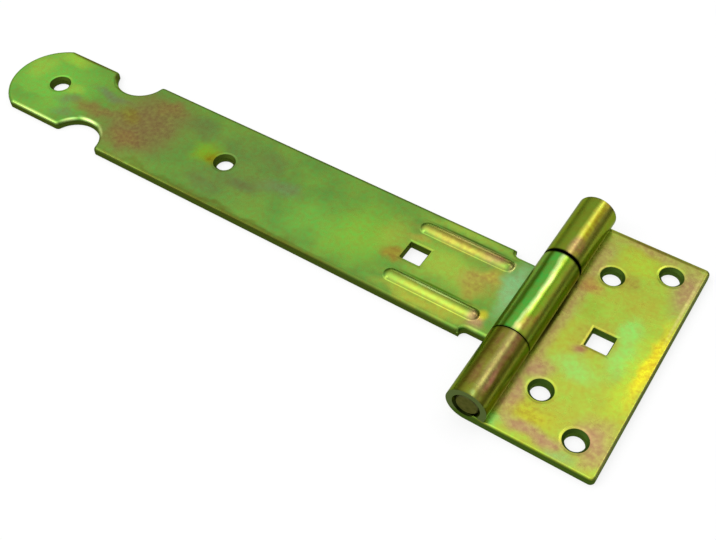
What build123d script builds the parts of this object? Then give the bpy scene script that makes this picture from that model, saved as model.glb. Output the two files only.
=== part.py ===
from build123d import *
import math
import os

# Tee hinge in millimetres, opened flat with its back on the plane z = 0.
# The pin lies along Y above the origin, the strap points to -X and the cross leaf to +X.

# Sheet, pin and rolled knuckles
sheet_thickness = 2.5
pin_diameter = 6.84
pin_running_clearance = 0.08
pin_setback = 0.3
pin_end_chamfer = 0.35
roll_overrun = 12.0
roll_seam_gap = 0.2
bore_edge_break = 0.6
knuckle_near_gap = 0.4
knuckle_far_gap = 1.0
cutout_clearance = 0.25

# Cross leaf
leaf_height = 80.2
leaf_reach = 36.6
leaf_corner_radius = 1.5
leaf_edge_round = 0.8
outer_hole_side_inset = 8.2
outer_hole_edge_inset = 8.9
inner_hole_side_inset = 17.2
inner_hole_reach = 13.4
leaf_square_reach = 20.0

# Strap
strap_length = 196.7
strap_width = 35.4
strap_edge_round = 1.3
strap_corner_margin = 0.2
tip_hole_inset = 17.7
screw_hole_pitch = 70.0
strap_square_reach = 38.7
head_width = 31.3
head_length = 39.1
tip_rise = 9.8
notch_radius = 8.7
shoulder_reach = 14.3
shoulder_step = 2.2
shoulder_flat = 0.4

# Punched holes on both pieces
screw_hole_diameter = 5.6
countersink_width = 0.8
countersink_angle = 90
square_side = 6.6
square_corner_radius = 0.4
square_edge_break = 0.25

# Stiffening beads, pressed up out of the strap
bead_start = 11.9
bead_length = 31.0
bead_spacing = 21.0
bead_width = 4.6
bead_rise = 1.0
bead_blend_radius = 0.6
bead_groove_width = 3.0
bead_groove_depth = 0.9

# Every eye is rolled about the pin, so that its outside comes level with the back of the sheet.
bore_radius = pin_diameter / 2 + pin_running_clearance
roll_mid_radius = bore_radius + sheet_thickness / 2
eye_radius = bore_radius + sheet_thickness
axis_height = eye_radius
roll_end_height = sheet_thickness * (1 + math.sin(math.radians(roll_overrun)) / 2) + roll_seam_gap

# The strap's knuckle has end play between the outer knuckles and stands at the near end of it.
tab_width = strap_width - 2 * shoulder_step
cutout_width = tab_width + knuckle_near_gap + knuckle_far_gap
rounded_reach = eye_radius + cutout_clearance + leaf_edge_round
rounded_drop = axis_height - sheet_thickness + leaf_edge_round
cutout_reach = math.sqrt(rounded_reach**2 - rounded_drop**2) - leaf_edge_round
knuckle_length = (leaf_height - cutout_width) / 2
strap_offset = (knuckle_near_gap - knuckle_far_gap) / 2

# The strap's rounded corners leave room for its edge round and for a flat on each shoulder.
strap_corner_radius = strap_edge_round + strap_corner_margin
shoulder_radius = shoulder_step - shoulder_flat

strap_plan = Plane((0, strap_offset, 0))


def at_front(edge):
    """True for an edge that lies all along the front face of the sheet."""
    bounds = edge.bounding_box()
    return abs(bounds.min.Z - sheet_thickness) + abs(bounds.max.Z - sheet_thickness) < sheet_thickness / 100


def bead_form(length, width, rise):
    """Long crown with ball ends that stands on the plane z = 0, centred on the origin."""
    radius = (width**2 / 4 + rise**2) / (2 * rise)
    base = radius - rise
    end = (length - width) / 2
    with BuildPart() as form:
        with BuildSketch(Plane.XZ):
            with BuildLine():
                Line((-end - radius, -base), (end + radius, -base))
                CenterArc((end, -base), radius, 0, 90)
                Line((end, rise), (-end, rise))
                CenterArc((-end, -base), radius, 90, 90)
            make_face()
        revolve(axis=Axis((0, 0, -base), (1, 0, 0)))
        split(bisect_by=Plane.XY, keep=Keep.TOP)
    return form.part


def rolled_eye(length):
    """Eye rolled up from a plate on its +X side, around the pin and straight down again to the plate."""
    with BuildPart() as eye:
        with BuildSketch(Plane.XZ):
            with BuildLine():
                turn = CenterArc((0, axis_height), roll_mid_radius, -90, -270 - roll_overrun)
                run = (turn @ 1).Y - roll_end_height
                PolarLine(turn @ 1, run, direction=turn % 1, length_mode=LengthMode.VERTICAL)
            trace(line_width=sheet_thickness)
        extrude(amount=length / 2, both=True)
        bore_edges = eye.edges().filter_by(GeomType.CIRCLE).group_by(SortBy.RADIUS)[0]
        chamfer(bore_edges, bore_edge_break)
    return eye.part


def plate_outline(plate):
    """Edges round the front face of a plate, without the line where its knuckles begin."""
    front = plate.faces().sort_by(Axis.Z)[-1]
    return front.edges().filter_by(lambda edge: abs(edge.center().X) > sheet_thickness / 4)


bead_crown = bead_form(bead_length, bead_width, bead_rise)
bead_groove = bead_form(bead_length - bead_width + bead_groove_width, bead_groove_width, bead_groove_depth)
bead_centre = -bead_start - bead_length / 2

# Strap: a shaped blank with its middle knuckle rolled up around the pin
with BuildPart(strap_plan) as strap:
    with BuildSketch(strap_plan) as blank:
        head_base = head_length - strap_length
        corner = tip_rise - strap_length
        with BuildLine():
            upper = Polyline(
                (corner, head_width / 2),
                (head_base, head_width / 2),
                (head_base, strap_width / 2),
                (-shoulder_reach, strap_width / 2),
                (-shoulder_reach, tab_width / 2),
                (0, tab_width / 2),
                (0, 0),
            )
            mirror(upper, about=Plane.XZ)
            ThreePointArc((corner, head_width / 2), (-strap_length, 0), (corner, -head_width / 2))
        make_face()
        with Locations((head_base, strap_width / 2), (head_base, -strap_width / 2)):
            Circle(notch_radius, mode=Mode.SUBTRACT)
        head_corners = blank.vertices().filter_by(lambda vertex: vertex.X < head_base + 2 * notch_radius)
        fillet(head_corners, strap_corner_radius)
        shoulder_corners = blank.vertices().group_by(Axis.X)[-2].sort_by(Axis.Y)
        fillet(shoulder_corners[1:-1], shoulder_radius)
    extrude(amount=sheet_thickness)
    fillet(plate_outline(strap), strap_edge_round)
    add(mirror(rolled_eye(tab_width), about=Plane.YZ, mode=Mode.PRIVATE))
    with Locations((bead_centre, 0, sheet_thickness)):
        with GridLocations(0, bead_spacing, 1, 2):
            add(bead_crown)
    fillet(strap.edges(Select.LAST).filter_by(at_front), bead_blend_radius)
    with Locations((bead_centre, 0, 0)):
        with GridLocations(0, bead_spacing, 1, 2):
            add(bead_groove, mode=Mode.SUBTRACT)
    tip_hole = tip_hole_inset - strap_length
    with Locations((tip_hole, 0, sheet_thickness), (tip_hole + screw_hole_pitch, 0, sheet_thickness)):
        CounterSinkHole(
            screw_hole_diameter / 2,
            screw_hole_diameter / 2 + countersink_width,
            counter_sink_angle=countersink_angle,
        )
    with BuildSketch(strap_plan):
        with Locations((-strap_square_reach, 0)):
            RectangleRounded(square_side, square_side, square_corner_radius)
    extrude(amount=sheet_thickness, mode=Mode.SUBTRACT)
    chamfer(strap.edges(Select.LAST).filter_by(at_front), square_edge_break)

# Cross leaf: a plate with two outer knuckles rolled up around the pin
with BuildPart() as leaf:
    with BuildSketch() as leaf_blank:
        Rectangle(leaf_reach, leaf_height, align=(Align.MIN, Align.CENTER))
        fillet(leaf_blank.vertices().group_by(Axis.X)[-1], leaf_corner_radius)
        Rectangle(2 * cutout_reach, cutout_width, mode=Mode.SUBTRACT)
    extrude(amount=sheet_thickness)
    fillet(plate_outline(leaf), leaf_edge_round)
    with GridLocations(0, leaf_height - knuckle_length, 1, 2):
        add(rolled_eye(knuckle_length))
    outer_hole = (leaf_reach - outer_hole_edge_inset, leaf_height / 2 - outer_hole_side_inset)
    inner_hole = (inner_hole_reach, leaf_height / 2 - inner_hole_side_inset)
    for reach, side in (outer_hole, inner_hole):
        with Locations((reach, side, sheet_thickness), (reach, -side, sheet_thickness)):
            CounterSinkHole(
                screw_hole_diameter / 2,
                screw_hole_diameter / 2 + countersink_width,
                counter_sink_angle=countersink_angle,
            )
    with BuildSketch():
        with Locations((leaf_square_reach, 0)):
            RectangleRounded(square_side, square_side, square_corner_radius)
    extrude(amount=sheet_thickness, mode=Mode.SUBTRACT)
    chamfer(leaf.edges(Select.LAST).filter_by(at_front), square_edge_break)

# Pin: a plain rod through the three knuckles, with broken ends set back in the outer ones
with BuildPart() as pin:
    with BuildSketch(Plane.XZ):
        with Locations((0, axis_height)):
            Circle(pin_diameter / 2)
    extrude(amount=leaf_height / 2 - pin_setback, both=True)
    chamfer(pin.edges(), pin_end_chamfer)

strap.part.label = "strap"
leaf.part.label = "leaf"
pin.part.label = "pin"

os.makedirs("parts", exist_ok=True)
export_step(strap.part, "parts/strap.step")
export_step(leaf.part, "parts/leaf.step")
export_step(pin.part, "parts/pin.step")
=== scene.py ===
import logging
import math
from dataclasses import dataclass
from enum import Enum

import bpy
from mathutils import Matrix, Vector

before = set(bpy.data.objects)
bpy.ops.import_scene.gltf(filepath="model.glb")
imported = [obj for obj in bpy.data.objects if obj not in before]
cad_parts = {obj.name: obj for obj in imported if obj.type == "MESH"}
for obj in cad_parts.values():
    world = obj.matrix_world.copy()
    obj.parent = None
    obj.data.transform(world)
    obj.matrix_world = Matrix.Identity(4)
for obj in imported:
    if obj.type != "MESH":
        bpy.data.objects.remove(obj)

LOG = logging.getLogger("tee_hinge")
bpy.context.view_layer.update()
MM = 0.001

# How far the dull walls of the punched holes, painted darker as shade, reach from their middles, in
# millimetres
SCREW_RIM = 3.6
SQUARE_RIM = 3.45


class Piece(Enum):
    """The three pieces of the hinge, by the names of their CAD nodes."""

    STRAP = "strap"
    LEAF = "leaf"
    PIN = "pin"


class Punch(Enum):
    """The outlines of the punched holes."""

    ROUND = "round"
    SQUARE = "square"


class Film(Enum):
    """The colours of a chromate film, from thin green and yellow to thick pink and brown, and the tints of
    its painted highlights and painted shade.
    """

    FERN = "70983c"
    MOSS = "628c3c"
    GRASS = "76b444"
    EMERALD = "5aa03a"
    APPLE = "86b83c"
    PEAR = "7ca624"
    MINT = "94d868"
    AQUA = "90c084"
    LIME = "a6c044"
    CITRON = "b8d23c"
    LEMON = "f2da24"
    STRAW = "b0b440"
    BUTTER = "c8c84c"
    MUSTARD = "beb22a"
    HONEY = "c8aa46"
    GOLD = "a89840"
    CREAM = "e8dc88"
    PALE = "cce68c"
    SAGE = "98b060"
    SLATE = "707e54"
    OLIVE = "646a40"
    AVOCADO = "748626"
    BRASS = "868e2e"
    DRAB = "7a762c"
    KHAKI = "968c4e"
    TAN = "b09a5c"
    ROSE = "b08e64"
    CLAY = "a87858"
    COPPER = "b08c48"
    BRONZE = "98762e"
    RUST = "86663c"
    UMBER = "7c6840"
    OCHRE = "84740e"
    BARK = "605818"
    BOTTLE = "486e12"
    HUNTER = "40561a"
    LODEN = "404414"
    # Painted shadow for the gap beside a knuckle
    GAP_SHADOW = "3c300f"


def linear(code: str) -> tuple[float, float, float, float]:
    """Turn an sRGB hex colour into linear RGBA.

    Args:
        code: Six hex digits.

    Returns:
        Linear red, green, blue and an alpha of one.
    """
    parts = [int(code[i:i + 2], 16) / 255 for i in (0, 2, 4)]
    red, green, blue = (c / 12.92 if c <= 0.04045 else ((c + 0.055) / 1.055) ** 2.4 for c in parts)
    return red, green, blue, 1.0


def add_node(tree: bpy.types.NodeTree, kind: str, feeds: dict | None = None,
             **settings) -> bpy.types.Node:
    """Add one node to a tree, set it, and link or fill its inputs.

    Args:
        tree: The node tree that gets the node.
        kind: Blender's name for the kind of node.
        feeds: What each input takes, by name or number: a socket or a plain value.
        settings: The node's own settings by name.

    Returns:
        The new node.
    """
    node = tree.nodes.new(kind)
    for name, value in settings.items():
        setattr(node, name, value)
    for name, value in (feeds or {}).items():
        if isinstance(value, bpy.types.NodeSocket):
            tree.links.new(value, node.inputs[name])
        else:
            node.inputs[name].default_value = value
    return node


@dataclass(frozen=True)
class Cloud:
    """A soft patch where the chromate film is thicker or thinner, so its colour differs, or where a
    highlight or shade is painted.

    Places and radii are in millimetres on the plate, turn in degrees, and cover is the share
    of the colour under it that the patch hides at its middle. On a rolled knuckle x and rx
    are degrees round the pin instead.
    """

    x: float
    y: float
    rx: float
    ry: float
    tint: Film
    cover: float
    turn: float = 0.0


@dataclass(frozen=True)
class Hole:
    """A punched hole: its middle and how far its dull wall, painted darker as shade, reaches from there, in
    millimetres.
    """

    x: float
    y: float
    rim: float
    punch: Punch = Punch.ROUND


@dataclass(frozen=True)
class Band:
    """The colour of a rolled knuckle at one angle round the pin, in degrees from straight up: film colour,
    painted shade or painted highlight.
    """

    angle: float
    tint: Film


@dataclass(frozen=True)
class Roll:
    """One knuckle's colours round the pin, painted highlight and painted shade among them.

    Its two ends lie at low and high along the pin, in millimetres, and each is dimmed there by
    painted shade, most of all in the joints.
    """

    low: float
    high: float
    low_dim: float
    high_dim: float
    bands: tuple[Band, ...]


@dataclass(frozen=True)
class Chromate:
    """Yellow chromate on zinc-plated steel sheet.

    To the eye it is a satin metal under a thin film that shows green, yellow and pink.
    """

    name: str
    ground: Film
    mottle: Film
    # Colour of the sheared walls: dull steel, painted darker as shade
    wall: str
    end_face: str
    clouds: tuple[Cloud, ...]
    holes: tuple[Hole, ...]
    rolls: tuple[Roll, ...]
    # Painted highlights and painted shade along the edges, bead flanks and joints, which stay where they
    # are drawn
    marks: tuple[Cloud, ...] = ()
    # Stains on the knuckles, and painted highlights where the bright streak falls on them
    stains_and_highlights: tuple[Cloud, ...] = ()
    # Near black painted shade inside the knuckles' bores
    bore_shade: str = "1a2208"
    # Painted shade darkening the knuckles' ends, most of all in the joints
    knuckle_end_shade: str = "23280a"
    edge_sheen: str = "d2d7b4"
    roughness: float = 0.27
    haze: tuple[float, float] = (-0.05, 0.06)
    wall_roughness: float = 0.6

    # Where a noise starts and stops to show, and how far the flecks change value and hue
    noise_span: tuple[float, float] = (0.3, 0.7)
    mottle_span: tuple[float, float] = (0.38, 0.66)
    fleck_value: float = 0.12
    fleck_hue: float = 0.025

    # Where a soft patch ends and where its full cover begins, in its own radii
    patch_end: float = 1.3
    patch_core: float = 0.2

    # How level a surface is where walls begin and are full, and how endways where end faces do
    wall_span: tuple[float, float] = (0.70, 0.30)
    end_span: tuple[float, float] = (0.5, 0.9)

    # Sizes of the pattern and of the piece, in millimetres
    cloud_drift: float = 2.0
    drift_grain: float = 8.0
    mottle_grain: float = 12.0
    fleck_grain: float = 1.4
    lip_width: float = 0.9
    lip_depth: float = 0.09
    peel_grain: float = 2.0
    peel_depth: float = 0.06
    dark_end: float = 0.7
    bore_reach: float = 4.15
    sheet_thickness: float = 2.5
    pin_height: float = 6.0
    face_margin: float = 0.05
    rim_margin: float = 0.02
    eye_margin: float = 0.2
    end_margin: float = 0.175
    knuckle_foot: tuple[float, float] = (0.1, 0.4)

    def material(self) -> bpy.types.Material:
        """Build the finish.

        Returns:
            The finished material.
        """
        made = bpy.data.materials.new(self.name)
        made.use_nodes = True
        tree = made.node_tree
        tree.nodes.clear()
        coords = add_node(tree, "ShaderNodeTexCoord")
        place = add_node(tree, "ShaderNodeVectorMath", {0: coords.outputs["Object"], "Scale": 1 / MM},
                         operation="SCALE").outputs["Vector"]
        film = self.mottled(tree, place)
        film = self.clouded(tree, self.drifted(tree, place, place, (1.0, 1.0, 0.0)), film, self.clouds)
        # Lay the painted highlights and painted shade.
        film = self.clouded(tree, place, film, self.marks)
        film = self.rolled(tree, place, film)
        film = self.flecked(tree, place, film)
        rim = self.past_rim(tree, place)
        wall = self.sheared(tree, place, coords.outputs["Normal"], rim)
        film = self.walled(tree, place, coords.outputs["Normal"], wall, film)
        self.surface(tree, place, rim, wall, film)
        return made

    def mottled(self, tree: bpy.types.NodeTree, place: bpy.types.NodeSocket) -> bpy.types.NodeSocket:
        """Lay the film's ground colour with its mottling.

        Args:
            tree: The material's tree.
            place: Where a point is, in millimetres.

        Returns:
            The film's colour.
        """
        mottle = add_node(tree, "ShaderNodeTexNoise",
                          {"Vector": place, "Scale": 1 / self.mottle_grain, "Detail": 3.0,
                           "Roughness": 0.55})
        share = add_node(tree, "ShaderNodeMapRange",
                         {"Value": mottle.outputs["Fac"], "From Min": self.mottle_span[0],
                          "From Max": self.mottle_span[1]})
        return add_node(tree, "ShaderNodeMix",
                        {"Factor": share.outputs["Result"], 6: linear(self.ground.value),
                         7: linear(self.mottle.value)},
                        data_type="RGBA").outputs[2]

    def drifted(self, tree: bpy.types.NodeTree, place: bpy.types.NodeSocket, spot: bpy.types.NodeSocket,
                reach: tuple[float, float, float]) -> bpy.types.NodeSocket:
        """Push a point about a little, so that patches get the film's ragged outlines.

        Args:
            tree: The material's tree.
            place: Where a point is, in millimetres.
            spot: The point to push about.
            reach: How strongly each of its coordinates is pushed.

        Returns:
            The pushed point.
        """
        drift = add_node(tree, "ShaderNodeTexNoise",
                         {"Vector": place, "Scale": 1 / self.drift_grain, "Detail": 2.0,
                          "Roughness": 0.5})
        swing = add_node(tree, "ShaderNodeVectorMath",
                         {0: drift.outputs["Color"], 1: (0.5, 0.5, 0.5)}, operation="SUBTRACT")
        # The noise mostly swings by a quarter to each side, so four times that is the drift.
        push = tuple(4 * self.cloud_drift * share for share in reach)
        return add_node(tree, "ShaderNodeVectorMath", {0: swing.outputs["Vector"], 1: push, 2: spot},
                        operation="MULTIPLY_ADD").outputs["Vector"]

    def clouded(self, tree: bpy.types.NodeTree, spot: bpy.types.NodeSocket, film: bpy.types.NodeSocket,
                clouds: tuple[Cloud, ...]) -> bpy.types.NodeSocket:
        """Lay soft patches over the film, one after the other.

        Args:
            tree: The material's tree.
            spot: The point in the patches' own coordinates.
            film: The colour so far.
            clouds: The patches.

        Returns:
            The colour with the patches.
        """
        for cloud in clouds:
            within = add_node(tree, "ShaderNodeMapping",
                              {"Vector": spot, "Location": (cloud.x, cloud.y, 0.0),
                               "Rotation": (0.0, 0.0, math.radians(cloud.turn)),
                               "Scale": (cloud.rx, cloud.ry, 1 / MM)}, vector_type="TEXTURE")
            reach = add_node(tree, "ShaderNodeVectorMath", {0: within.outputs["Vector"]},
                             operation="LENGTH")
            cover = add_node(tree, "ShaderNodeMapRange",
                             {"Value": reach.outputs["Value"], "From Min": self.patch_end,
                              "From Max": self.patch_core, "To Max": cloud.cover},
                             interpolation_type="SMOOTHSTEP")
            film = add_node(tree, "ShaderNodeMix",
                            {"Factor": cover.outputs["Result"], 6: film, 7: linear(cloud.tint.value)},
                            data_type="RGBA").outputs[2]
        return film

    def rolled(self, tree: bpy.types.NodeTree, place: bpy.types.NodeSocket,
               film: bpy.types.NodeSocket) -> bpy.types.NodeSocket:
        """Colour the knuckles in bands along the pin: film colours, with painted shade on the flanks and
        paler painted highlight near the top.

        Args:
            tree: The material's tree.
            place: Where a point is, in millimetres.
            film: The plate's colour.

        Returns:
            The colour with the knuckles over it.
        """
        parts = add_node(tree, "ShaderNodeSeparateXYZ", {0: place})
        height = add_node(tree, "ShaderNodeMath", {0: parts.outputs["Z"], 1: self.pin_height},
                          operation="SUBTRACT")
        angle = add_node(tree, "ShaderNodeMath", {0: parts.outputs["X"], 1: height.outputs[0]},
                         operation="ARCTAN2")
        degrees = add_node(tree, "ShaderNodeMath", {0: angle.outputs[0]}, operation="DEGREES")
        around = add_node(tree, "ShaderNodeCombineXYZ",
                          {"X": degrees.outputs[0], "Y": parts.outputs["Y"]})
        # The push is twice as many degrees round the pin as millimetres along it.
        spot = self.drifted(tree, place, around.outputs["Vector"], (2.0, 1.0, 0.0))
        across = add_node(tree, "ShaderNodeSeparateXYZ", {0: spot})
        turn = add_node(tree, "ShaderNodeMapRange",
                        {"Value": across.outputs["X"], "From Min": -90.0, "From Max": 90.0})
        barrel = film
        for roll in self.rolls:
            ramp = add_node(tree, "ShaderNodeValToRGB", {"Fac": turn.outputs["Result"]})
            stops = ramp.color_ramp.elements
            while len(stops) < len(roll.bands):
                stops.new(0.5)
            for stop, band in zip(stops, roll.bands):
                stop.position = (band.angle + 90) / 180
                stop.color = linear(band.tint.value)
            from_low = add_node(tree, "ShaderNodeMath", {0: parts.outputs["Y"], 1: roll.low},
                                operation="SUBTRACT")
            from_high = add_node(tree, "ShaderNodeMath", {0: roll.high, 1: parts.outputs["Y"]},
                                 operation="SUBTRACT")
            margin = add_node(tree, "ShaderNodeMath", {0: from_low.outputs[0], 1: from_high.outputs[0]},
                              operation="MINIMUM")
            inside = add_node(tree, "ShaderNodeMath", {0: margin.outputs[0], 1: -self.end_margin},
                              operation="GREATER_THAN")
            dimmed = ramp.outputs["Color"]
            # Each end of the knuckle is darkened as painted shade, by its dim share.
            for away, dim in ((from_low, roll.low_dim), (from_high, roll.high_dim)):
                end_shade = add_node(tree, "ShaderNodeMapRange",
                                {"Value": away.outputs[0], "From Min": self.dark_end, "From Max": 0.0,
                                 "To Max": dim}, interpolation_type="SMOOTHSTEP")
                dimmed = add_node(tree, "ShaderNodeMix",
                                  {"Factor": end_shade.outputs["Result"], 6: dimmed, 7: linear(self.knuckle_end_shade)},
                                  data_type="RGBA").outputs[2]
            barrel = add_node(tree, "ShaderNodeMix", {"Factor": inside.outputs[0], 6: barrel, 7: dimmed},
                              data_type="RGBA").outputs[2]
        # Lay the knuckles' stains and their painted highlights.
        barrel = self.clouded(tree, spot, barrel, self.stains_and_highlights)
        raised = add_node(tree, "ShaderNodeMapRange",
                          {"Value": parts.outputs["Z"],
                           "From Min": self.sheet_thickness + self.knuckle_foot[0],
                           "From Max": self.sheet_thickness + self.knuckle_foot[1]})
        aside = add_node(tree, "ShaderNodeMath", {0: parts.outputs["X"]}, operation="ABSOLUTE")
        close = add_node(tree, "ShaderNodeMath",
                         {0: aside.outputs[0], 1: self.pin_height + self.eye_margin},
                         operation="LESS_THAN")
        share = add_node(tree, "ShaderNodeMath", {0: raised.outputs["Result"], 1: close.outputs[0]},
                         operation="MULTIPLY")
        return add_node(tree, "ShaderNodeMix", {"Factor": share.outputs[0], 6: film, 7: barrel},
                        data_type="RGBA").outputs[2]

    def flecked(self, tree: bpy.types.NodeTree, place: bpy.types.NodeSocket,
                film: bpy.types.NodeSocket) -> bpy.types.NodeSocket:
        """Break the film up with small faint flecks.

        Args:
            tree: The material's tree.
            place: Where a point is, in millimetres.
            film: The colour so far.

        Returns:
            The flecked colour.
        """
        flecks = add_node(tree, "ShaderNodeTexNoise",
                          {"Vector": place, "Scale": 1 / self.fleck_grain, "Detail": 3.0,
                           "Roughness": 0.6})
        low, high = self.noise_span
        value = add_node(tree, "ShaderNodeMapRange",
                         {"Value": flecks.outputs["Fac"], "From Min": low, "From Max": high,
                          "To Min": 1 - self.fleck_value, "To Max": 1 + self.fleck_value})
        hue = add_node(tree, "ShaderNodeMapRange",
                       {"Value": flecks.outputs["Fac"], "From Min": low, "From Max": high,
                        "To Min": 0.5 - self.fleck_hue, "To Max": 0.5 + self.fleck_hue})
        return add_node(tree, "ShaderNodeHueSaturation",
                        {"Hue": hue.outputs["Result"], "Value": value.outputs["Result"],
                         "Color": film}).outputs["Color"]

    def past_rim(self, tree: bpy.types.NodeTree, place: bpy.types.NodeSocket) -> bpy.types.NodeSocket:
        """Measure how far a point lies outside the nearest hole's rim.

        Args:
            tree: The material's tree.
            place: Where a point is, in millimetres.

        Returns:
            The distance in millimetres, less than nothing inside a hole.
        """
        nearest = None
        for hole in self.holes:
            away = add_node(tree, "ShaderNodeVectorMath",
                            {0: place, 1: (1.0, 1.0, 0.0), 2: (-hole.x, -hole.y, 0.0)},
                            operation="MULTIPLY_ADD")
            if hole.punch is Punch.SQUARE:
                sides = add_node(tree, "ShaderNodeVectorMath", {0: away.outputs["Vector"]},
                                 operation="ABSOLUTE")
                parts = add_node(tree, "ShaderNodeSeparateXYZ", {0: sides.outputs["Vector"]})
                reach = add_node(tree, "ShaderNodeMath", {0: parts.outputs["X"], 1: parts.outputs["Y"]},
                                 operation="MAXIMUM").outputs[0]
            else:
                reach = add_node(tree, "ShaderNodeVectorMath", {0: away.outputs["Vector"]},
                                 operation="LENGTH").outputs["Value"]
            gap = add_node(tree, "ShaderNodeMath", {0: reach, 1: hole.rim},
                           operation="SUBTRACT").outputs[0]
            nearest = gap if nearest is None else add_node(tree, "ShaderNodeMath", {0: nearest, 1: gap},
                                                           operation="MINIMUM").outputs[0]
        return nearest

    def sheared(self, tree: bpy.types.NodeTree, place: bpy.types.NodeSocket, normal: bpy.types.NodeSocket,
                rim: bpy.types.NodeSocket) -> bpy.types.NodeSocket:
        """Find the sheared walls of the sheet and of its holes.

        Args:
            tree: The material's tree.
            place: Where a point is, in millimetres.
            normal: The way the surface faces, in the piece's own frame.
            rim: How far a point lies outside the nearest hole.

        Returns:
            One on a wall and nothing on the sheet's faces.
        """
        facing = add_node(tree, "ShaderNodeSeparateXYZ", {0: normal})
        parts = add_node(tree, "ShaderNodeSeparateXYZ", {0: place})
        level = add_node(tree, "ShaderNodeMath", {0: facing.outputs["Z"]}, operation="ABSOLUTE")
        upright = add_node(tree, "ShaderNodeMapRange",
                           {"Value": level.outputs[0], "From Min": self.wall_span[0],
                            "From Max": self.wall_span[1]}, interpolation_type="SMOOTHSTEP")
        inside = add_node(tree, "ShaderNodeMath", {0: rim, 1: self.rim_margin}, operation="LESS_THAN")
        either = add_node(tree, "ShaderNodeMath", {0: upright.outputs["Result"], 1: inside.outputs[0]},
                          operation="MAXIMUM")
        low = add_node(tree, "ShaderNodeMath",
                       {0: parts.outputs["Z"], 1: self.sheet_thickness + self.face_margin},
                       operation="LESS_THAN")
        return add_node(tree, "ShaderNodeMath", {0: either.outputs[0], 1: low.outputs[0]},
                        operation="MULTIPLY").outputs[0]

    def walled(self, tree: bpy.types.NodeTree, place: bpy.types.NodeSocket, normal: bpy.types.NodeSocket,
               wall: bpy.types.NodeSocket, film: bpy.types.NodeSocket) -> bpy.types.NodeSocket:
        """Darken the knuckles' end faces, which stay dull, the sheared walls, dull steel painted darker
        still as shade, and the bores, painted near black as shade.

        Args:
            tree: The material's tree.
            place: Where a point is, in millimetres.
            normal: The way the surface faces, in the piece's own frame.
            wall: Where the sheared walls are.
            film: The colour so far.

        Returns:
            The colour with all of them.
        """
        # The walls' dull colour is painted darker than the steel is, as shade.
        film = add_node(tree, "ShaderNodeMix", {"Factor": wall, 6: film, 7: linear(self.wall)},
                        data_type="RGBA").outputs[2]
        facing = add_node(tree, "ShaderNodeSeparateXYZ", {0: normal})
        parts = add_node(tree, "ShaderNodeSeparateXYZ", {0: place})
        endways = add_node(tree, "ShaderNodeMath", {0: facing.outputs["Y"]}, operation="ABSOLUTE")
        flat = add_node(tree, "ShaderNodeMapRange",
                        {"Value": endways.outputs[0], "From Min": self.end_span[0],
                         "From Max": self.end_span[1]})
        raised = add_node(tree, "ShaderNodeMath",
                          {0: parts.outputs["Z"], 1: self.sheet_thickness + self.face_margin},
                          operation="GREATER_THAN")
        ended = add_node(tree, "ShaderNodeMath", {0: flat.outputs["Result"], 1: raised.outputs[0]},
                         operation="MULTIPLY")
        film = add_node(tree, "ShaderNodeMix",
                        {"Factor": ended.outputs[0], 6: film, 7: linear(self.end_face)},
                        data_type="RGBA").outputs[2]
        # Inside the bore the knuckle is painted near black, as shade.
        spoke = add_node(tree, "ShaderNodeVectorMath",
                         {0: place, 1: (1.0, 0.0, 1.0), 2: (0.0, 0.0, -self.pin_height)},
                         operation="MULTIPLY_ADD")
        reach = add_node(tree, "ShaderNodeVectorMath", {0: spoke.outputs["Vector"]}, operation="LENGTH")
        bored = add_node(tree, "ShaderNodeMath", {0: reach.outputs["Value"], 1: self.bore_reach},
                         operation="LESS_THAN")
        return add_node(tree, "ShaderNodeMix",
                        {"Factor": bored.outputs[0], 6: film, 7: linear(self.bore_shade)},
                        data_type="RGBA").outputs[2]

    def surface(self, tree: bpy.types.NodeTree, place: bpy.types.NodeSocket, rim: bpy.types.NodeSocket,
                wall: bpy.types.NodeSocket, film: bpy.types.NodeSocket) -> None:
        """Close the tree with the satin metal that carries the film.

        Args:
            tree: The material's tree.
            place: Where a point is, in millimetres.
            rim: How far a point lies outside the nearest hole.
            wall: Where the sheared walls are.
            film: The film's finished colour.
        """
        haze = add_node(tree, "ShaderNodeTexNoise",
                        {"Vector": place, "Scale": 1 / self.drift_grain, "Detail": 4.0})
        rough = add_node(tree, "ShaderNodeMapRange",
                         {"Value": haze.outputs["Fac"], "From Min": self.noise_span[0],
                          "From Max": self.noise_span[1], "To Min": self.roughness + self.haze[0],
                          "To Max": self.roughness + self.haze[1]})
        dulled = add_node(tree, "ShaderNodeMix",
                          {"Factor": wall, "A": rough.outputs["Result"], "B": self.wall_roughness})
        peel = add_node(tree, "ShaderNodeTexNoise",
                        {"Vector": place, "Scale": 1 / self.peel_grain, "Detail": 3.0})
        skin = add_node(tree, "ShaderNodeBump",
                        {"Height": peel.outputs["Fac"], "Strength": 0.25, "Distance": self.peel_depth * MM})
        lip = add_node(tree, "ShaderNodeMapRange",
                       {"Value": rim, "From Min": 0.0, "From Max": self.lip_width},
                       interpolation_type="SMOOTHSTEP")
        sunk = add_node(tree, "ShaderNodeBump",
                        {"Height": lip.outputs["Result"], "Strength": 1.0,
                         "Distance": self.lip_depth * MM, "Normal": skin.outputs["Normal"]})
        metal = add_node(tree, "ShaderNodeBsdfPrincipled",
                         {"Base Color": film, "Metallic": 1.0, "Roughness": dulled.outputs["Result"],
                          "Specular Tint": linear(self.edge_sheen), "Normal": sunk.outputs["Normal"]})
        add_node(tree, "ShaderNodeOutputMaterial", {"Surface": metal.outputs["BSDF"]})


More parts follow.
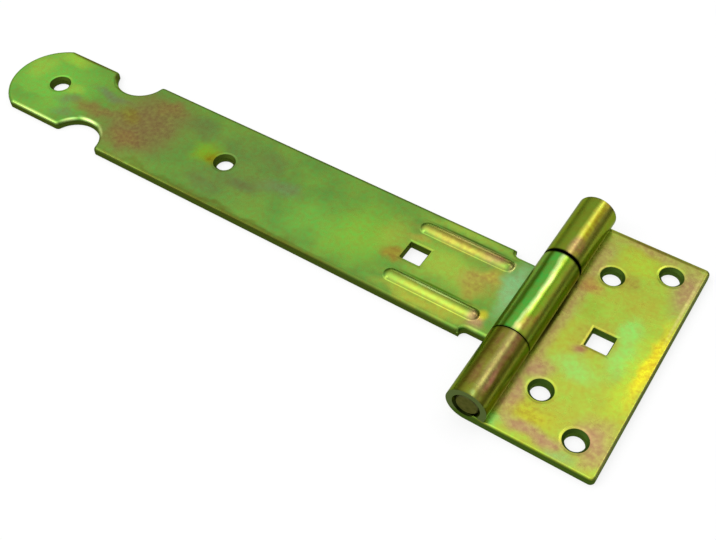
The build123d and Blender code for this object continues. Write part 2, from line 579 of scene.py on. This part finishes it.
# The strap's film is mostly green, brown behind the head and gold round the square hole.
STRAP_FINISH = Chromate(
    name="yellow_chromate_on_strap",
    ground=Film.FERN,
    mottle=Film.MOSS,
    wall="44561a",
    end_face="505f37",
    holes=(
        Hole(-179.0, -0.3, SCREW_RIM), Hole(-109.0, -0.3, SCREW_RIM),
        Hole(-38.7, -0.3, SQUARE_RIM, Punch.SQUARE),
    ),
    clouds=(
        Cloud(-183.0, 0.0, 22.0, 20.0, Film.GRASS, 0.9),
        Cloud(-184.0, 12.5, 9.0, 3.2, Film.CITRON, 0.4),
        Cloud(-191.0, 4.0, 5.0, 8.0, Film.LIME, 0.4),
        Cloud(-173.5, 0.8, 4.0, 2.5, Film.LIME, 0.4),
        Cloud(-186.0, -11.5, 8.0, 3.0, Film.MOSS, 0.5),
        Cloud(-168.0, -9.5, 6.0, 3.0, Film.SLATE, 0.5),
        Cloud(-160.0, 4.0, 9.0, 2.6, Film.SLATE, 0.8),
        Cloud(-172.0, -4.5, 5.0, 3.0, Film.SLATE, 0.6),
        Cloud(-160.0, -3.8, 13.0, 2.8, Film.RUST, 0.7),
        Cloud(-141.0, 0.0, 17.0, 18.0, Film.UMBER, 0.9),
        Cloud(-139.0, 10.5, 7.0, 3.5, Film.RUST, 0.5),
        Cloud(-143.5, -9.0, 8.0, 5.0, Film.RUST, 0.6),
        Cloud(-148.0, 0.0, 5.0, 3.0, Film.OCHRE, 0.4),
        Cloud(-144.0, 14.5, 10.0, 3.0, Film.MOSS, 0.6),
        Cloud(-106.0, 1.0, 24.0, 18.0, Film.OLIVE, 0.35),
        Cloud(-124.0, 9.0, 7.0, 5.0, Film.OLIVE, 0.5),
        Cloud(-123.0, -4.0, 8.0, 10.0, Film.MOSS, 0.6),
        Cloud(-116.0, 0.0, 6.5, 6.0, Film.PEAR, 0.8),
        Cloud(-113.5, -1.5, 3.5, 3.5, Film.OCHRE, 0.75),
        Cloud(-110.0, -11.0, 9.0, 4.0, Film.OLIVE, 0.5),
        Cloud(-97.5, -4.5, 9.0, 3.5, Film.OLIVE, 0.75, 12.0),
        Cloud(-95.0, 8.5, 6.0, 4.0, Film.OLIVE, 0.4),
        Cloud(-86.5, 0.0, 8.0, 4.0, Film.SLATE, 0.6),
        Cloud(-70.0, -6.0, 12.0, 8.0, Film.GRASS, 0.5),
        Cloud(-56.0, -3.0, 12.0, 14.0, Film.APPLE, 0.7),
        Cloud(-47.5, 3.0, 6.0, 8.0, Film.STRAW, 0.35),
        Cloud(-44.5, -4.0, 4.0, 2.6, Film.BRONZE, 0.8),
        Cloud(-41.0, 6.0, 4.5, 1.6, Film.GOLD, 0.7),
        Cloud(-28.0, 1.0, 18.0, 9.0, Film.LIME, 0.75),
        Cloud(-18.0, 1.5, 7.0, 6.0, Film.COPPER, 0.6),
        Cloud(-14.5, 5.0, 3.4, 4.5, Film.HONEY, 0.4),
        Cloud(-17.5, -4.0, 3.5, 3.5, Film.GOLD, 0.6),
        Cloud(-29.0, 10.4, 17.0, 2.3, Film.GOLD, 0.85),
        Cloud(-18.0, 10.3, 4.0, 2.3, Film.CLAY, 0.7),
        Cloud(-28.0, -10.4, 16.0, 2.2, Film.STRAW, 0.6),
        Cloud(-28.0, -14.2, 18.0, 2.8, Film.STRAW, 0.8),
        Cloud(-12.5, -13.3, 3.5, 2.6, Film.ROSE, 0.9),
        Cloud(-28.0, 15.3, 18.0, 2.4, Film.LIME, 0.6),
        Cloud(-9.0, 3.0, 3.6, 13.0, Film.AQUA, 0.7),
        Cloud(-100.0, -16.6, 52.0, 1.6, Film.BARK, 0.5),
    ),
    # Painted highlights on the head's lower edge, the notch and the near bead flanks; painted shade on the
    # far edges, the lower edge and the far bead flanks
    marks=(
        Cloud(-176.5, -15.5, 12.0, 0.9, Film.SAGE, 0.9),
        Cloud(-164.3, -12.2, 2.8, 1.0, Film.PALE, 0.7, 50.0),
        Cloud(-158.0, -8.9, 4.5, 1.0, Film.PALE, 0.7),
        Cloud(-151.8, -11.0, 2.8, 1.0, Film.PALE, 0.5, -45.0),
        Cloud(-177.0, 14.3, 13.0, 0.8, Film.BARK, 0.85),
        Cloud(-164.5, 12.0, 3.0, 1.0, Film.BARK, 0.7, -45.0),
        Cloud(-158.5, 8.7, 4.5, 0.8, Film.BARK, 0.7),
        Cloud(-81.0, 16.8, 95.0, 0.8, Film.HUNTER, 0.85),
        Cloud(-85.0, -17.5, 100.0, 1.0, Film.LODEN, 0.9),
        Cloud(-27.5, 11.9, 12.5, 0.9, Film.CREAM, 0.9),
        Cloud(-27.5, 13.1, 14.0, 0.5, Film.HUNTER, 0.9),
        Cloud(-27.5, -9.3, 12.5, 0.9, Film.PALE, 0.9),
        Cloud(-27.5, -7.9, 14.0, 0.5, Film.BOTTLE, 0.9),
        Cloud(-12.3, 10.2, 0.8, 2.2, Film.CREAM, 0.7),
        Cloud(-11.4, -9.5, 1.8, 2.2, Film.LEMON, 0.45),
    ),
    # Copper and bronze stains, and pale painted highlights along the bright streak
    stains_and_highlights=(
        Cloud(22.0, -12.5, 14.0, 3.0, Film.COPPER, 0.7),
        Cloud(38.0, -9.0, 8.0, 5.0, Film.BRONZE, 0.6),
        Cloud(10.0, 5.0, 8.0, 4.0, Film.PALE, 0.5),
        Cloud(10.0, -14.0, 12.0, 1.6, Film.CREAM, 0.7),
    ),
    # Bands round the pin: film colours, painted shade on the dark flanks and a pale painted highlight near
    # the top
    rolls=(
        Roll(-15.8, 15.2, 0.5, 0.95, (
            Band(-75.0, Film.HUNTER), Band(-41.0, Film.FERN), Band(-28.0, Film.BOTTLE),
            Band(-19.0, Film.EMERALD), Band(-3.0, Film.EMERALD), Band(5.0, Film.PALE),
            Band(13.0, Film.LIME), Band(20.0, Film.PEAR), Band(38.0, Film.BRASS), Band(56.0, Film.AVOCADO),
        )),
    ),
)

# The leaf's film is lime and mint inside a pink and tan border, with a yellow free edge.
LEAF_FINISH = Chromate(
    name="yellow_chromate_on_leaf",
    ground=Film.LIME,
    mottle=Film.STRAW,
    wall="445e20",
    end_face="505f37",
    holes=(
        Hole(27.7, 31.9, SCREW_RIM), Hole(27.7, -31.9, SCREW_RIM),
        Hole(13.4, 22.9, SCREW_RIM), Hole(13.4, -22.9, SCREW_RIM),
        Hole(20.0, 0.0, SQUARE_RIM, Punch.SQUARE),
    ),
    cloud_drift=1.4,
    clouds=(
        Cloud(7.8, 3.0, 3.0, 34.0, Film.TAN, 0.8),
        Cloud(8.5, 27.0, 4.4, 11.0, Film.TAN, 0.7),
        Cloud(10.0, 16.3, 4.0, 3.4, Film.COPPER, 0.9),
        Cloud(21.0, 38.0, 14.0, 2.6, Film.TAN, 0.7),
        Cloud(33.0, 29.0, 4.2, 11.0, Film.ROSE, 0.85),
        Cloud(19.0, 31.5, 6.0, 5.0, Film.CITRON, 0.6),
        Cloud(18.5, 23.5, 3.2, 3.6, Film.GOLD, 0.7),
        Cloud(21.0, 17.0, 9.0, 4.0, Film.STRAW, 0.6),
        Cloud(13.0, 9.0, 4.5, 4.5, Film.APPLE, 0.4),
        Cloud(25.5, 7.5, 4.0, 5.5, Film.MINT, 0.7),
        Cloud(28.0, -2.0, 4.6, 9.0, Film.MINT, 0.65),
        Cloud(31.5, -6.0, 3.2, 19.0, Film.CITRON, 0.7),
        Cloud(34.3, 0.0, 2.4, 18.0, Film.LEMON, 0.7),
        Cloud(19.5, 0.5, 6.8, 6.8, Film.GOLD, 0.5),
        Cloud(16.5, -6.0, 2.4, 2.2, Film.CLAY, 0.8),
        Cloud(18.5, -12.0, 7.6, 4.8, Film.MINT, 0.65),
        Cloud(9.6, -17.0, 4.4, 5.0, Film.ROSE, 0.9),
        Cloud(7.8, -28.0, 3.0, 8.0, Film.ROSE, 0.85),
        Cloud(19.0, -26.0, 8.0, 4.0, Film.STRAW, 0.7),
        Cloud(15.0, -31.0, 7.5, 3.6, Film.MUSTARD, 0.6),
        Cloud(31.0, -30.0, 6.2, 8.0, Film.ROSE, 0.95),
        Cloud(33.0, -35.5, 3.4, 4.0, Film.TAN, 0.7),
        Cloud(13.5, -35.4, 6.5, 3.0, Film.ROSE, 0.95),
        Cloud(21.0, -36.0, 6.0, 2.8, Film.ROSE, 0.95),
        Cloud(26.0, -38.3, 5.0, 1.4, Film.SAGE, 0.8),
        Cloud(6.8, -37.6, 2.2, 2.6, Film.MINT, 0.85),
    ),
    # Painted shadow beside the strap's knuckle, painted shade on the far, near and right edges, and a
    # painted highlight on the right edge
    marks=(
        # Painted shadow in the gap between the leaf's cut-out and the strap's knuckle
        Cloud(5.8, 1.0, 0.8, 17.0, Film.GAP_SHADOW, 0.9),
        Cloud(20.0, 39.0, 25.0, 0.7, Film.BARK, 0.8),
        Cloud(20.0, -40.0, 25.0, 0.7, Film.AVOCADO, 0.9),
        Cloud(2.5, -39.7, 3.0, 0.8, Film.HUNTER, 0.9),
        Cloud(36.3, 0.0, 0.5, 70.0, Film.OLIVE, 0.9),
        Cloud(35.1, 24.0, 0.6, 16.0, Film.CREAM, 0.5),
    ),
    # Rust, clay, rose, honey and olive stains, and a painted highlight at the near knuckle's end
    stains_and_highlights=(
        Cloud(-14.0, -33.0, 12.0, 5.0, Film.RUST, 0.6),
        Cloud(-12.0, -21.0, 10.0, 3.0, Film.RUST, 0.5),
        Cloud(10.0, -38.8, 45.0, 2.6, Film.AVOCADO, 0.6),
        Cloud(8.0, -39.0, 8.0, 1.3, Film.SAGE, 0.8),
        Cloud(28.0, -32.0, 9.0, 4.0, Film.CLAY, 0.6),
        Cloud(30.0, -20.0, 12.0, 3.0, Film.RUST, 0.5),
        Cloud(14.0, 20.0, 16.0, 4.5, Film.ROSE, 0.8),
        Cloud(30.0, 20.0, 14.0, 3.0, Film.RUST, 0.6),
        Cloud(25.0, 39.0, 8.0, 2.0, Film.HONEY, 0.6),
    ),
    # Bands round the pin: film colours, painted shade on the dark flanks and, on the far knuckle, a paler
    # painted highlight band
    rolls=(
        Roll(-40.1, -16.2, 0.4, 0.5, (
            Band(-75.0, Film.HUNTER), Band(-45.0, Film.AVOCADO), Band(-28.0, Film.BARK),
            Band(-4.0, Film.DRAB), Band(6.0, Film.KHAKI), Band(16.0, Film.KHAKI), Band(27.0, Film.RUST),
            Band(38.0, Film.BARK), Band(60.0, Film.BRASS), Band(75.0, Film.AVOCADO),
        )),
        Roll(16.2, 40.1, 0.95, 0.3, (
            Band(-75.0, Film.HUNTER), Band(-45.0, Film.AVOCADO), Band(1.0, Film.AVOCADO),
            Band(13.0, Film.BUTTER), Band(22.0, Film.MUSTARD), Band(36.0, Film.DRAB),
            Band(47.0, Film.BRASS), Band(62.0, Film.AVOCADO),
        )),
    ),
)


@dataclass(frozen=True)
class ShearedRod:
    """Sheared steel rod under a dull chromate.

    To the eye it is dark olive, with the coarse marks of the shear on its ends.
    """

    name: str = "dull_chromate_on_pin"
    dark: str = "343c20"
    light: str = "6a683c"
    edge_sheen: str = "b4b98c"
    roughness: float = 0.45

    # Size and depth of the shear's marks, in millimetres
    mark: float = 1.1
    mark_depth: float = 0.15

    def material(self) -> bpy.types.Material:
        """Build the finish.

        Returns:
            The finished material.
        """
        made = bpy.data.materials.new(self.name)
        made.use_nodes = True
        tree = made.node_tree
        tree.nodes.clear()
        coords = add_node(tree, "ShaderNodeTexCoord")
        marks = add_node(tree, "ShaderNodeTexNoise",
                         {"Vector": coords.outputs["Object"], "Scale": 1 / (self.mark * MM),
                          "Detail": 5.0, "Roughness": 0.65})
        film = add_node(tree, "ShaderNodeMix",
                        {"Factor": marks.outputs["Fac"], 6: linear(self.dark), 7: linear(self.light)},
                        data_type="RGBA")
        bump = add_node(tree, "ShaderNodeBump",
                        {"Height": marks.outputs["Fac"], "Strength": 0.6,
                         "Distance": self.mark_depth * MM})
        metal = add_node(tree, "ShaderNodeBsdfPrincipled",
                         {"Base Color": film.outputs[2], "Metallic": 1.0, "Roughness": self.roughness,
                          "Specular Tint": linear(self.edge_sheen), "Normal": bump.outputs["Normal"]})
        add_node(tree, "ShaderNodeOutputMaterial", {"Surface": metal.outputs["BSDF"]})
        return made


@dataclass
class Hinge:
    """The hinge's three pieces, each with its finish."""

    strap: Chromate = STRAP_FINISH
    leaf: Chromate = LEAF_FINISH
    pin: ShearedRod = ShearedRod()

    def dress(self) -> None:
        """Give every piece its material."""
        for piece, finish in ((Piece.STRAP, self.strap), (Piece.LEAF, self.leaf), (Piece.PIN, self.pin)):
            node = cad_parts[piece.value]
            node.data.materials.clear()
            node.data.materials.append(finish.material())
            LOG.info("%s wears %s", piece.value, finish.name)


@dataclass(frozen=True)
class Softbox:
    """A soft rectangular lamp that faces the hinge.

    The direction points from the hinge to the lamp, distance and sizes are in metres and
    glow is how bright its face looks, where one is white.
    """

    name: str
    direction: tuple[float, float, float]
    distance: float
    width: float
    height: float
    glow: float

    def build(self, aim: Vector) -> None:
        """Hang the lamp.

        Args:
            aim: The point it faces, in metres.
        """
        lamp = bpy.data.lights.new(self.name, "AREA")
        lamp.shape = "RECTANGLE"
        lamp.size = self.width
        lamp.size_y = self.height
        lamp.energy = self.glow * math.pi * self.width * self.height
        hung = bpy.data.objects.new(self.name, lamp)
        away = Vector(self.direction).normalized()
        hung.location = aim + away * self.distance
        hung.rotation_euler = away.to_track_quat("Z", "Y").to_euler()
        bpy.context.scene.collection.objects.link(hung)


@dataclass(frozen=True)
class SkyStep:
    """How bright the room looks between its walls and its brightest spot, where one is white."""

    lean: float
    glow: float


@dataclass
class Studio:
    """A pale floor, soft light and the camera that sees the hinge as the photo does.

    Angles are in degrees, the camera's distance, target and lens in millimetres, the floor's size in
    metres and its drop below the hinge in millimetres.
    """

    azimuth: float = 33.159
    elevation: float = 50.520
    roll: float = -0.347
    distance: float = 304.540
    target: tuple[float, float, float] = (-50.610, -12.835, 0.0)
    focal_length: float = 52.416
    sensor_width: float = 36.0
    nearest: float = 10.0
    floor_size: float = 6.0
    floor_drop: float = 0.1
    floor_paper: str = "f2f2f2"
    floor_light: str = "ffffff"
    floor_glow: float = 0.75
    brightest: tuple[float, float, float] = (-0.35, -0.15, 0.92)
    sky_steps: tuple[SkyStep, ...] = (
        SkyStep(0.0, 0.22), SkyStep(0.40, 0.40), SkyStep(0.62, 0.95), SkyStep(0.78, 1.10),
        SkyStep(0.92, 1.9), SkyStep(1.0, 2.6),
    )
    softboxes: tuple[Softbox, ...] = (
        Softbox("window", (0.17, 0.57, 0.80), 1.0, 0.20, 0.36, 2.2),
        Softbox("front_left", (-0.66, -0.40, 0.63), 1.0, 0.25, 0.40, 3.0),
        Softbox("right", (0.65, 0.55, 0.52), 1.0, 0.45, 0.45, 0.8),
        Softbox("far_wall", (-0.35, 0.90, 0.27), 1.2, 0.70, 0.30, 1.0),
    )

    def build(self) -> None:
        """Set up the whole studio."""
        self.camera()
        self.floor()
        self.sky()
        for softbox in self.softboxes:
            softbox.build(Vector((0.0, 0.0, 0.0)))
        bpy.context.scene.view_settings.view_transform = "Standard"
        LOG.info("studio with %d softboxes", len(self.softboxes))

    def camera(self) -> None:
        """Place the camera at the photo's viewing angle."""
        turn, lift, tilt = (math.radians(v) for v in (self.azimuth, self.elevation, self.roll))
        back = Vector((math.sin(turn) * math.cos(lift), -math.cos(turn) * math.cos(lift), math.sin(lift)))
        level = Vector((0.0, 0.0, 1.0)).cross(back).normalized()
        upward = back.cross(level)
        across = level * math.cos(tilt) + upward * math.sin(tilt)
        upright = upward * math.cos(tilt) - level * math.sin(tilt)
        seat = Vector(self.target) + back * self.distance
        lens = bpy.data.cameras.new("photo_camera")
        lens.sensor_width = self.sensor_width
        lens.lens = self.focal_length
        lens.clip_start = self.nearest * MM
        camera = bpy.data.objects.new("photo_camera", lens)
        turned = Matrix((across, upright, back)).transposed().to_4x4()
        camera.matrix_world = Matrix.Translation(seat * MM) @ turned
        bpy.context.scene.collection.objects.link(camera)
        bpy.context.scene.camera = camera

    def floor(self) -> None:
        """Lay the white floor that keeps a soft shadow of the hinge."""
        half = self.floor_size / 2
        sheet = bpy.data.meshes.new("floor")
        corners = [(-half, -half), (half, -half), (half, half), (-half, half)]
        sheet.from_pydata([(x, y, -self.floor_drop * MM) for x, y in corners], [], [(0, 1, 2, 3)])
        floor = bpy.data.objects.new("floor", sheet)
        bpy.context.scene.collection.objects.link(floor)
        paper = bpy.data.materials.new("white_paper_floor")
        paper.use_nodes = True
        tree = paper.node_tree
        tree.nodes.clear()
        # White paper is matt, and to the eye and in the metal it stays nearly white under a soft shadow.
        matt = add_node(tree, "ShaderNodeBsdfDiffuse", {"Color": linear(self.floor_paper)})
        glow = add_node(tree, "ShaderNodeEmission", {"Color": linear(self.floor_light), "Strength": 1.0})
        ray = add_node(tree, "ShaderNodeLightPath")
        seen = add_node(tree, "ShaderNodeMath",
                        {0: ray.outputs["Is Camera Ray"], 1: ray.outputs["Is Glossy Ray"]},
                        operation="MAXIMUM")
        seen = add_node(tree, "ShaderNodeMath",
                        {0: seen.outputs[0], 1: ray.outputs["Is Transmission Ray"]}, operation="MAXIMUM")
        share = add_node(tree, "ShaderNodeMath", {0: seen.outputs[0], 1: self.floor_glow},
                         operation="MULTIPLY")
        blend = add_node(tree, "ShaderNodeMixShader",
                         {0: share.outputs[0], 1: matt.outputs["BSDF"], 2: glow.outputs["Emission"]})
        add_node(tree, "ShaderNodeOutputMaterial", {"Surface": blend.outputs["Shader"]})
        sheet.materials.append(paper)

    def sky(self) -> None:
        """Light the room softly: brightest overhead and dimmer towards the walls."""
        world = bpy.data.worlds.new("studio_room")
        world.use_nodes = True
        tree = world.node_tree
        tree.nodes.clear()
        coords = add_node(tree, "ShaderNodeTexCoord")
        lean = add_node(tree, "ShaderNodeVectorMath", {0: coords.outputs["Generated"], 1: self.brightest},
                        operation="DOT_PRODUCT")
        top = max(step.glow for step in self.sky_steps)
        ramp = add_node(tree, "ShaderNodeValToRGB", {"Fac": lean.outputs["Value"]})
        stops = ramp.color_ramp.elements
        while len(stops) < len(self.sky_steps):
            stops.new(0.5)
        for stop, step in zip(stops, self.sky_steps):
            stop.position = step.lean
            stop.color = (step.glow / top,) * 3 + (1.0,)
        light = add_node(tree, "ShaderNodeBackground", {"Color": ramp.outputs["Color"], "Strength": top})
        add_node(tree, "ShaderNodeOutputWorld", {"Surface": light.outputs["Background"]})
        bpy.context.scene.world = world


def main() -> None:
    """Dress the hinge and set up the studio."""
    logging.basicConfig(level=logging.INFO, format="%(name)s: %(message)s")
    Hinge().dress()
    Studio().build()


if __name__ == "__main__":
    main()
